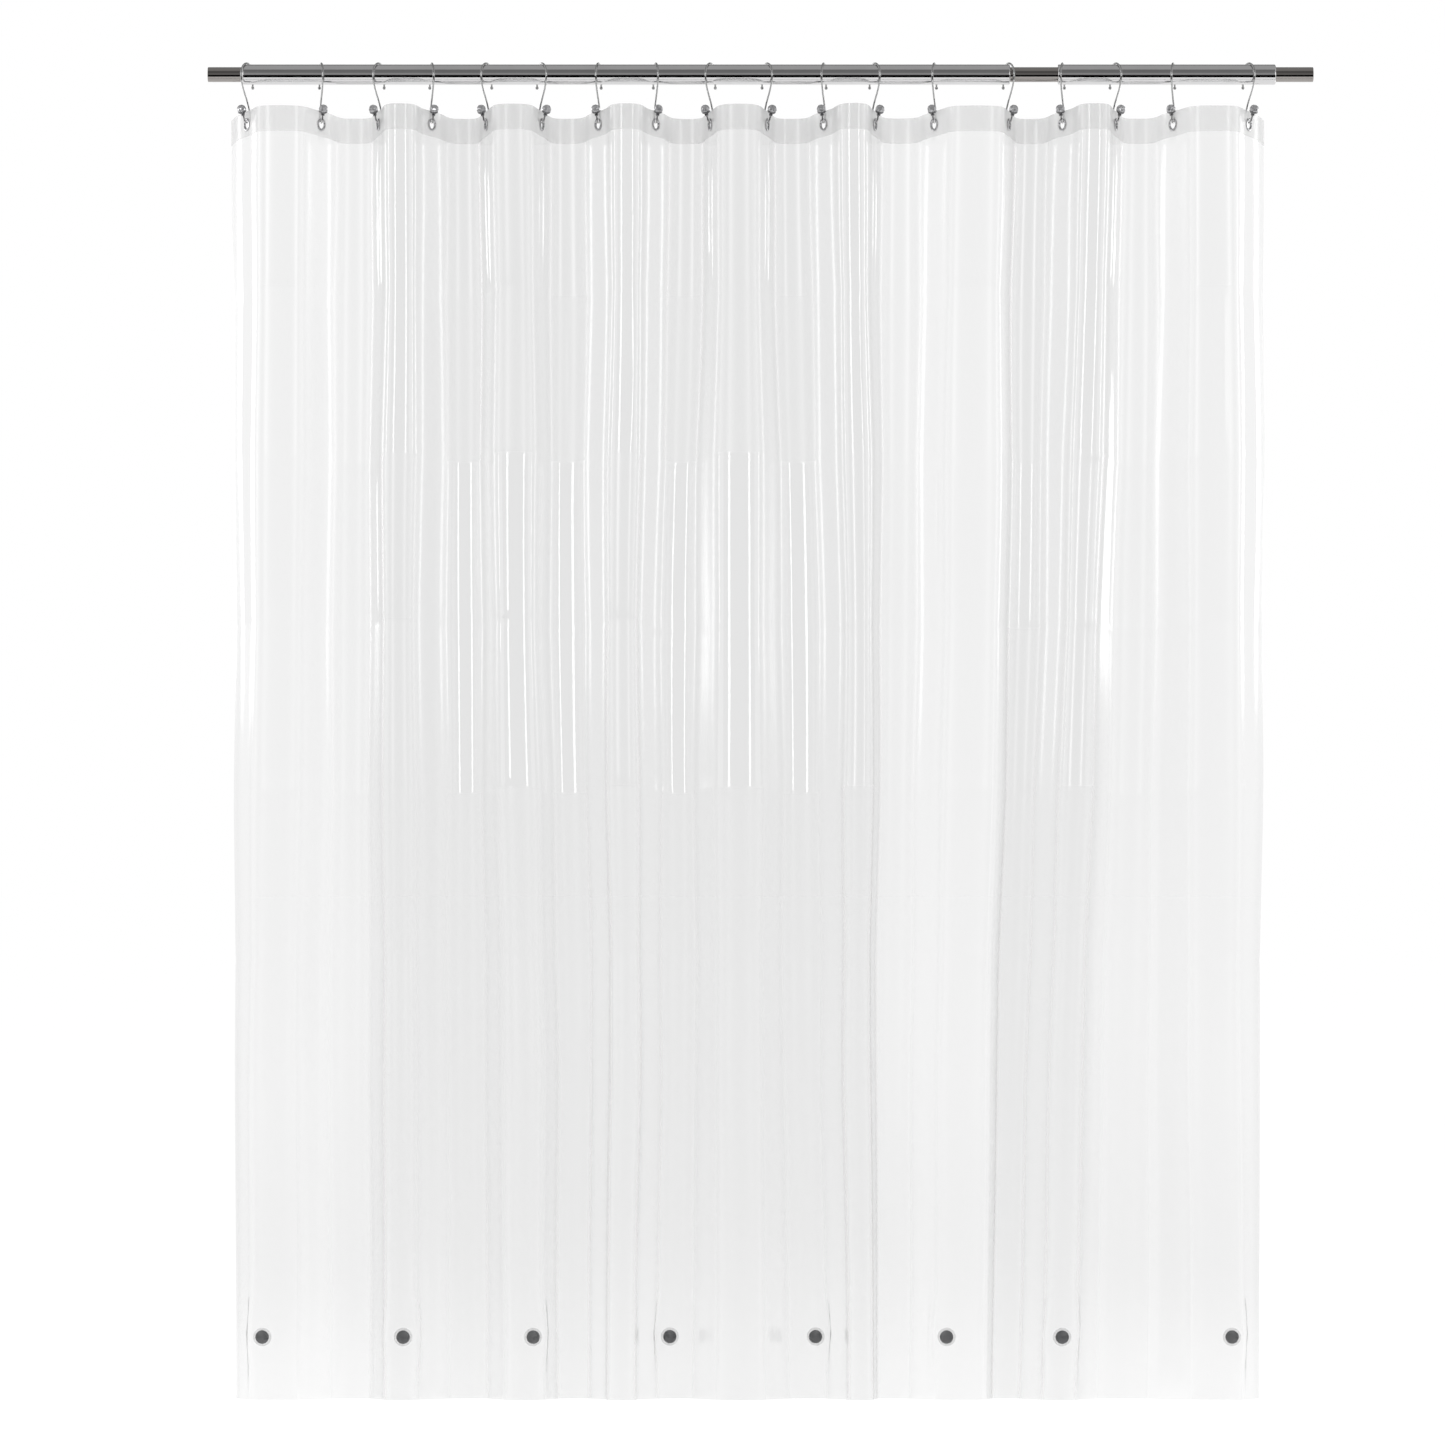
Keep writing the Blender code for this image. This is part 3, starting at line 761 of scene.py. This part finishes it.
def gridPiece(name, flatX, drop, points):
    selectNothing()
    bpy.ops.mesh.primitive_grid_add(x_subdivisions=len(flatX) - 1, y_subdivisions=len(drop) - 1,
                                    size=1.0, calc_uvs=True)
    piece = bpy.context.active_object
    piece.name = name
    # the grid's vertices run along X first, then up Y
    ordered = points[:, ::-1].transpose(1, 0, 2).reshape(-1, 3)
    piece.data.vertices.foreach_set("co", ordered.astype(np.float32).ravel())
    for attribute, values in (("paintedLightShare", paintedLightOver(flatX, drop)), ("shine", shineOver(flatX, drop))):
        share = piece.data.attributes.new(attribute, "FLOAT", "POINT")
        share.data.foreach_set("value", values[::-1].astype(np.float32).ravel())
    piece.data.update()
    return piece


def holeCutter():
    cutters = []
    for number in range(1, hookCount + 1):
        way = frontOf(wayAt(number))
        turn = Matrix.Rotation(math.atan2(way.y, way.x), 4, "Z") @ Matrix.Rotation(math.pi / 2, 4, "Y")
        selectNothing()
        bpy.ops.mesh.primitive_cylinder_add(vertices=cloth["holeSides"], radius=cloth["holeRadius"],
                                            depth=cloth["cutterDepth"])
        cutter = bpy.context.active_object
        spot = Matrix.Translation((*hookPlaces[number], centreOf(f"grommet_{number:02d}").z))
        settle(cutter, spot @ turn)
        cutters.append(cutter)
    selectOnly(cutters[0])
    for cutter in cutters:
        cutter.select_set(True)
    bpy.ops.object.join()
    return bpy.context.active_object


def thicken(piece, thickness, cutter):
    body = piece.modifiers.new("thickness", "SOLIDIFY")
    body.thickness = thickness
    body.offset = 0.0
    holes = piece.modifiers.new("holes", "BOOLEAN")
    holes.operation = "DIFFERENCE"
    holes.solver = "MANIFOLD"
    holes.object = cutter
    applyModifiers(piece)
    smoothByAngle(piece, cloth["smoothAngle"])


def clothRows(height, count):
    # even rows, and three more at each crease
    rows = set(np.linspace(0, height, count).round(5))
    for line in np.arange(hang["creaseTop"] + hang["crease"], height - hang["lastCrease"], hang["crease"]):
        rows |= {round(line + side * hang["creaseRow"], 5) for side in (-1, 0, 1)}
    return np.array(sorted(rows))


def makeCloth():
    cutter = holeCutter()
    flatX = clothColumns()
    drop = clothRows(cloth["flat"][1], cloth["rows"])
    across, down, points = clothSurface(flatX, drop)
    points = settleRoundMagnets(across, down, points)
    sheet = gridPiece("curtain_vinyl", flatX, drop, points)
    thicken(sheet, cloth["thickness"], cutter)

    bandDrop = np.linspace(0, cloth["headerHeight"], cloth["headerRows"])
    _, front = alongPath(flatX)
    _, _, bandPoints = clothSurface(flatX, bandDrop)
    stand = (cloth["thickness"] + cloth["headerThickness"]) / 2 + cloth["headerStand"]
    bandPoints[:, :, :2] += front[:, None, :] * stand
    band = gridPiece("header_vinyl", flatX, bandDrop, bandPoints)
    thicken(band, cloth["headerThickness"], cutter)
    bpy.data.objects.remove(cutter)
    for piece, look, node, slotName in ((sheet, vinylLook, "curtain_sheet", "clear_vinyl"),
                                        (band, headerLook, "header_band", "frosted_header")):
        giveLook(piece, look)
        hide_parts(node)
        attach(piece, "curtain")
        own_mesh(piece)
    return sheet, band


sheet, band = makeCloth()
print("cloth made:", len(sheet.data.polygons), "faces")


def carrierOf(number):
    return "curtain" if number == 1 else f"carrier_{number:02d}"


# grommets: a rolled eyelet from the front with a washer behind

grommet = {
    "hole": 0.0060, "flange": 0.0090, "barrel": 0.0066, "back": -0.000425, "front": 0.001025,
    "edge": 0.0004, "steps": 48, "smoothAngle": 50,
    # along from the cloth's back or front, out from the hole or the flange
    "washerInner": ((-0.0007, 0.0004), (-0.0008, 0.0012)),
    "washerOuter": ((-0.0007, -0.0006), (-0.0003, 0.0), (0.0, 0.0)),
    "rollOuter": (0.0011, -0.0012), "rollTop": 0.00125,
    "rollInner": ((0.0011, 0.0010), (0.0006, 0.0003), (0.0, 0.0)),
}


def grommetOutline():
    hole, flange, barrel = grommet["hole"], grommet["flange"], grommet["barrel"]
    back, front, edge = grommet["back"], grommet["front"], grommet["edge"]
    outline = [(back + along, hole + out) for along, out in grommet["washerInner"]]
    outline += [(back + along, flange + out) for along, out in grommet["washerOuter"]]
    outline += [(back, barrel), (front, barrel), (front, flange - edge / 2)]
    outline += arcPoints((front + edge, flange - edge), edge, 90, 0, 4)
    outline += [(front + grommet["rollOuter"][0], flange + grommet["rollOuter"][1]),
                (front + grommet["rollTop"], (hole + flange) / 2)]
    outline += [(front + along, hole + out) for along, out in grommet["rollInner"]]
    return outline


def makeGrommets():
    model = turnOutline("grommet_model", grommetOutline(), grommet["steps"], grommet["smoothAngle"])
    giveLook(model, steelLook)
    for number in range(1, hookCount + 1):
        way = frontOf(wayAt(number))
        spot = Matrix.Translation((*hookPlaces[number], centreOf(f"grommet_{number:02d}").z))
        piece = copyPiece(model, f"eyelet_{number:02d}")
        settle(piece, spot @ Matrix.Rotation(math.atan2(way.y, way.x), 4, "Z"))
        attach(piece, carrierOf(number))
        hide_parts(f"grommet_{number:02d}")
    bpy.data.objects.remove(model)


makeGrommets()
print("grommets made")

# hooks: bent wire, knob, metal cap and faceted ball

# places in its own plane: forward, and up from the rod's axis
hook = {
    "wire": 0.0013, "loopHalfDepth": 0.0192, "loopHalfHeight": 0.0174, "loopTop": 0.0159,
    "loopReach": 105, "loopStep": 15, "bendStep": 30, "wireSides": 3, "wireSteps": 5, "wireSmooth": 50,
    "knobAt": (-0.0152, -0.0178), "knobLead": (-0.0010, 0.0030), "knob": 0.0023, "knobPoints": 12,
    "knobSides": 24, "knobSmooth": 60, "shank": ((0.0146, -0.0150), (-0.0036, -0.0490)),
    "bend": 0.0059, "bendZ": -0.0624, "ballAt": (0.0105, -0.0500), "ball": 0.0068, "ballSpin": 0.7,
    "hardTurn": math.radians(45), "softTurn": math.radians(22), "turnAtRod": 0.5,
    "twist": (-0.012, -0.045), "facetBevel": 0.00022,
    "capGap": 0.00035, "capWall": 0.0006, "capRim": 118, "capFloor": 176, "capPoints": 10, "capSides": 32,
    "capSmooth": 40, "capNeck": ((0.0022, 0.0017), (0.0022, 0.0024), (0.0010, 0.0028)),
}


def hookTurn(up, fullTurn):
    share = (hook["twist"][0] - up) / (hook["twist"][0] - hook["twist"][1])
    share = min(max(share, 0.0), 1.0)
    return fullTurn * (hook["turnAtRod"] + (1 - hook["turnAtRod"]) * share)


def hookPoint(number, forward, up):
    fullTurn = hook["hardTurn"] if isHard(number) else hook["softTurn"]
    turn = hookTurn(up, fullTurn)
    x = hookPlaces[number].x + sideOf(number) * forward * math.sin(turn)
    return Vector((x, -forward * math.cos(turn), up))


def wirePoints():
    # up from the knob, round the rod, down the shank, round the bend and up to the ball
    knob, lead = Vector(hook["knobAt"]), hook["knobLead"]
    points = [(knob.x, knob.y), (knob.x + lead[0], knob.y + lead[1])]
    loopCentre = hook["loopTop"] - hook["loopHalfHeight"]
    for degrees in range(-hook["loopReach"], hook["loopReach"] + 1, hook["loopStep"]):
        angle = math.radians(degrees)
        points.append((hook["loopHalfDepth"] * math.sin(angle),
                       loopCentre + hook["loopHalfHeight"] * math.cos(angle)))
    points += hook["shank"]
    for degrees in range(180, 361, hook["bendStep"]):
        angle = math.radians(degrees)
        points.append((hook["bend"] * math.cos(angle), hook["bendZ"] + hook["bend"] * math.sin(angle)))
    points.append(hook["ballAt"])
    return points


def makeWire(number):
    curve = bpy.data.curves.new(f"hook_wire_{number:02d}", "CURVE")
    curve.dimensions = "3D"
    curve.bevel_depth = hook["wire"]
    curve.bevel_resolution = hook["wireSides"]
    curve.resolution_u = hook["wireSteps"]
    curve.use_fill_caps = True
    spline = curve.splines.new("BEZIER")
    points = [hookPoint(number, *p) for p in wirePoints()]
    spline.bezier_points.add(len(points) - 1)
    for point, spot in zip(spline.bezier_points, points):
        point.co = spot
        point.handle_left_type = point.handle_right_type = "AUTO"
    piece = bpy.data.objects.new(curve.name, curve)
    bpy.context.scene.collection.objects.link(piece)
    selectOnly(piece)
    bpy.ops.object.convert(target="MESH")
    piece = bpy.context.active_object
    smoothByAngle(piece, hook["wireSmooth"])
    return piece


def ballModel():
    selectNothing()
    bpy.ops.mesh.primitive_ico_sphere_add(subdivisions=2, radius=hook["ball"])
    piece = bpy.context.active_object
    edge = piece.modifiers.new("edge", "BEVEL")
    edge.width = hook["facetBevel"]
    edge.segments = 1
    edge.limit_method = "NONE"
    applyModifiers(piece)
    bpy.ops.object.shade_flat()
    return piece


def capModel():
    radius = hook["ball"] + hook["capGap"]
    outside = arcPoints((0, 0), radius, 180, hook["capRim"], hook["capPoints"])
    inside = arcPoints((0, 0), radius - hook["capWall"], hook["capRim"], hook["capFloor"], hook["capPoints"])
    neck = [(-radius - behind, out) for behind, out in hook["capNeck"]]
    outline = neck + outside[len(neck):] + inside
    return turnOutline("cap_model", outline, hook["capSides"], hook["capSmooth"])


def knobModel():
    arc = arcPoints((0, 0), hook["knob"], 0, 180, hook["knobPoints"])
    outline = [(along, max(out, nearAxis)) for along, out in arc]
    return turnOutline("knob_model", outline, hook["knobSides"], hook["knobSmooth"])


def aimed(spot, direction):
    return Matrix.Translation(spot) @ direction.to_track_quat("X", "Z").to_matrix().to_4x4()


def makeHooks():
    ball, cap, knob = ballModel(), capModel(), knobModel()
    for number in range(1, hookCount + 1):
        body = carrierOf(number)
        ballSpot = hookPoint(number, *hook["ballAt"])
        below = hookPoint(number, hook["bend"], hook["bendZ"])
        outward = (ballSpot - below).normalized()
        wire = makeWire(number)
        giveLook(wire, wireLook)
        gem, cup, tip = (copyPiece(model, f"{name}_{number:02d}") for model, name in
                         ((ball, "hook_ball"), (cap, "hook_cap"), (knob, "hook_knob")))
        spin = Matrix.Rotation(number * hook["ballSpin"], 4, "X")
        settle(gem, aimed(ballSpot, outward) @ spin)
        settle(cup, aimed(ballSpot, outward))
        knobSpot = hookPoint(number, *hook["knobAt"])
        settle(tip, aimed(knobSpot, Vector((0, 0, -1))))
        giveLook(gem, crystalLook)
        giveLook(cup, capLook)
        giveLook(tip, wireLook)
        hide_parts(f"hook_{number:02d}")
        for piece, slotName in ((wire, "hook_chrome"), (gem, "crystal"),
                                (cup, "hook_chrome"), (tip, "hook_chrome")):
            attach(piece, body)
    for model in (ball, cap, knob):
        bpy.data.objects.remove(model)


makeHooks()
print("hooks made")

# magnets: a disc sealed in a welded vinyl pocket


def magnetOutline():
    half, radius, edge = magnet["half"], magnet["radius"], magnet["edge"]
    outline = [(-half, nearAxis), (-half, radius - edge)]
    outline += arcPoints((-half + edge, radius - edge), edge, 180, 90, 4)[1:]
    outline += arcPoints((half - edge, radius - edge), edge, 90, 0, 4)
    outline += [(half, nearAxis)]
    return outline


def pocketOutline():
    # film over the magnet's face, down its side and out to the weld, then back over the outside
    half, radius, film, weld = magnet["half"], magnet["radius"], magnet["film"], magnet["weld"]
    top, low = half + magnet["topGap"], -half + magnet["weldGap"]

    def bent(name, start):
        return [(start + along, radius + out) for along, out in magnet[name]]

    ridge, ridgeEnd = (weld - inwards for inwards in magnet["ringSpan"])
    outline = [(top, nearAxis)] + bent("underTop", top) + bent("underSide", low)
    outline += [(low, weld), (low + film, weld), (low + film + magnet["ring"], ridge), (low + film, ridgeEnd)]
    return outline + bent("overSide", low) + bent("overTop", top) + [(top + film, nearAxis)]


def makeMagnets():
    disc = turnOutline("disc_model", magnetOutline(), magnet["steps"], magnet["smoothAngle"])
    film = turnOutline("film_model", pocketOutline(), magnet["steps"], magnet["smoothAngle"])
    giveLook(disc, magnetLook)
    giveLook(film, vinylLook)
    pockets = []
    for number, (flatPlace, centre, _) in enumerate(magnetSpots, 1):
        _, front = frontAt(flatPlace)
        turn = Matrix.Rotation(math.atan2(front[1], front[0]), 4, "Z")
        spot = Matrix.Translation(centre) @ turn
        piece = copyPiece(disc, f"magnet_disc_{number}")
        pocket = copyPiece(film, f"magnet_pocket_{number}")
        for made, slotName in ((piece, "magnet"), (pocket, "clear_vinyl")):
            settle(made, spot)
            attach(made, f"magnet_carrier_{number}")
        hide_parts(f"magnet_{number}")
        pockets.append(pocket)
    bpy.data.objects.remove(disc)
    bpy.data.objects.remove(film)
    return pockets


pockets = makeMagnets()
print("magnets made")

# floor, light and camera

studio = {
    "distance": 8.5, "viewWidth": 2.052, "viewX": -0.054, "viewZ": -0.920, "sensor": 36.0, "viewEnd": 200,
    "floorDrop": 0.15, "floorSize": 60.0, "floorColor": (0.90, 0.90, 0.90, 1), "floorRoughness": 0.8,
    "floorGlow": 0.099, "white": 1.0, "bandReach": 12.0, "bandLength": 30,
    # name, low and high angle, grey
    "bands": (("frontBand", -9, 14, 0.33), ("upperBand", 14, 55, 0.20),
              ("topBand", 55, 125, 0.46), ("backBand", 125, 165, 0.22)),
    # name, distance along Y, height over the floor, size, facing, grey
    "cards": (("lowCard", -11.3, 0.02, (30, 17.4), (0, 0, 1), 0.0),
              ("hemCard", -0.9, 0.095, (4, 0.19), (0, 1, 0), 0.0)),
    # name, azimuth, distance, width, low and high end, radiance
    "strips": (
        ("stripLeft", -24, 9.0, 1.25, -1.24, 4.0, 4.6), ("stripRight", 25, 9.0, 1.05, -1.24, 4.0, 4.6),
        ("sideLeft", -86, 3.0, 0.50, -0.75, 0.60, 3.4), ("sideRight", 86, 3.0, 0.50, -0.75, 0.60, 3.4),
        ("rearLeft", -128, 3.2, 0.55, -0.85, 0.50, 3.2), ("rearRight", 128, 3.2, 0.55, -0.85, 0.50, 3.2),
    ),
    "clearBounces": 96, "bounces": 10,
}
floorHeight = cadBox[0][2] - studio["floorDrop"]


def makeFloor():
    selectNothing()
    bpy.ops.mesh.primitive_plane_add(size=studio["floorSize"])
    floor = bpy.context.active_object
    floor.name = "floor"
    settle(floor, Matrix.Translation((0, 0, floorHeight)))
    look, nodes, links = newLook("paleFloor")
    shader = nodes["Principled BSDF"]
    shader.inputs["Base Color"].default_value = studio["floorColor"]
    shader.inputs["Roughness"].default_value = studio["floorRoughness"]
    shader.inputs["Specular IOR Level"].default_value = 0.0
    shader.inputs["Emission Color"].default_value = (1, 1, 1, 1)
    shader.inputs["Emission Strength"].default_value = studio["floorGlow"]
    giveLook(floor, look)


def makeWorld():
    world = bpy.data.worlds.new("studio")
    world.use_nodes = True
    world.node_tree.nodes["Background"].inputs["Color"].default_value = (1, 1, 1, 1)
    world.node_tree.nodes["Background"].inputs["Strength"].default_value = studio["white"]
    bpy.context.scene.world = world


def addCard(name, centre, size, facing, grey):
    # a plain card that only shows in reflections
    selectNothing()
    bpy.ops.mesh.primitive_plane_add(size=1.0)
    card = bpy.context.active_object
    card.name = name
    turn = Vector(facing).to_track_quat("Z", "Y").to_matrix().to_4x4()
    settle(card, Matrix.Translation(centre) @ turn @ Matrix.Diagonal((*size, 1, 1)))
    look, nodes, links = newLook(name + "_look")
    nodes.remove(nodes["Principled BSDF"])
    glow = addNode(nodes, "ShaderNodeEmission")
    glow.inputs["Color"].default_value = (grey, grey, grey, 1)
    links.new(glow.outputs[0], nodes["Material Output"].inputs["Surface"])
    giveLook(card, look)
    card.visible_camera = False
    card.visible_diffuse = False
    card.visible_shadow = False
    card.visible_transmission = False


def addBand(name, low, high, grey):
    # a long card over the front of the object, between two heights given as angles from its rod
    reach, middle = studio["bandReach"], math.radians((low + high) / 2)
    inward = Vector((0, math.cos(middle), -math.sin(middle)))
    width = 2 * reach * math.tan(math.radians((high - low) / 2))
    addCard(name, -inward * reach, (studio["bandLength"], width), inward, grey)


def addStrip(name, azimuth, distance, width, low, high, radiance):
    # a tall strip light that faces the cloth; azimuth 0 is in front, positive to the right
    angle = math.radians(azimuth)
    spot = Vector((distance * math.sin(angle), -distance * math.cos(angle), (low + high) / 2))
    data = bpy.data.lights.new(name, "AREA")
    data.shape = "RECTANGLE"
    data.size, data.size_y = width, high - low
    data.energy = radiance * math.pi * width * (high - low)
    light = bpy.data.objects.new(name, data)
    bpy.context.scene.collection.objects.link(light)
    toCloth = Vector((-spot.x, -spot.y, 0))
    light.matrix_world = Matrix.Translation(spot) @ toCloth.to_track_quat("-Z", "Y").to_matrix().to_4x4()
    light.visible_camera = False


def makeStudio():
    makeFloor()
    makeWorld()
    for band in studio["bands"]:
        addBand(*band)
    for name, y, above, size, facing, grey in studio["cards"]:
        addCard(name, (0, y, floorHeight + above), size, facing, grey)
    for strip in studio["strips"]:
        addStrip(*strip)


def makeCamera():
    data = bpy.data.cameras.new("camera")
    data.sensor_width = studio["sensor"]
    data.lens = studio["sensor"] * studio["distance"] / studio["viewWidth"]
    data.clip_end = studio["viewEnd"]
    camera = bpy.data.objects.new("camera", data)
    bpy.context.scene.collection.objects.link(camera)
    camera.location = (studio["viewX"], -studio["distance"], studio["viewZ"])
    camera.rotation_euler = (math.pi / 2, 0, 0)
    bpy.context.scene.camera = camera


makeStudio()
makeCamera()
scene = bpy.context.scene
scene.view_settings.view_transform = "Standard"
scene.cycles.transparent_max_bounces = studio["clearBounces"]
scene.cycles.max_bounces = studio["bounces"]
print("studio made")
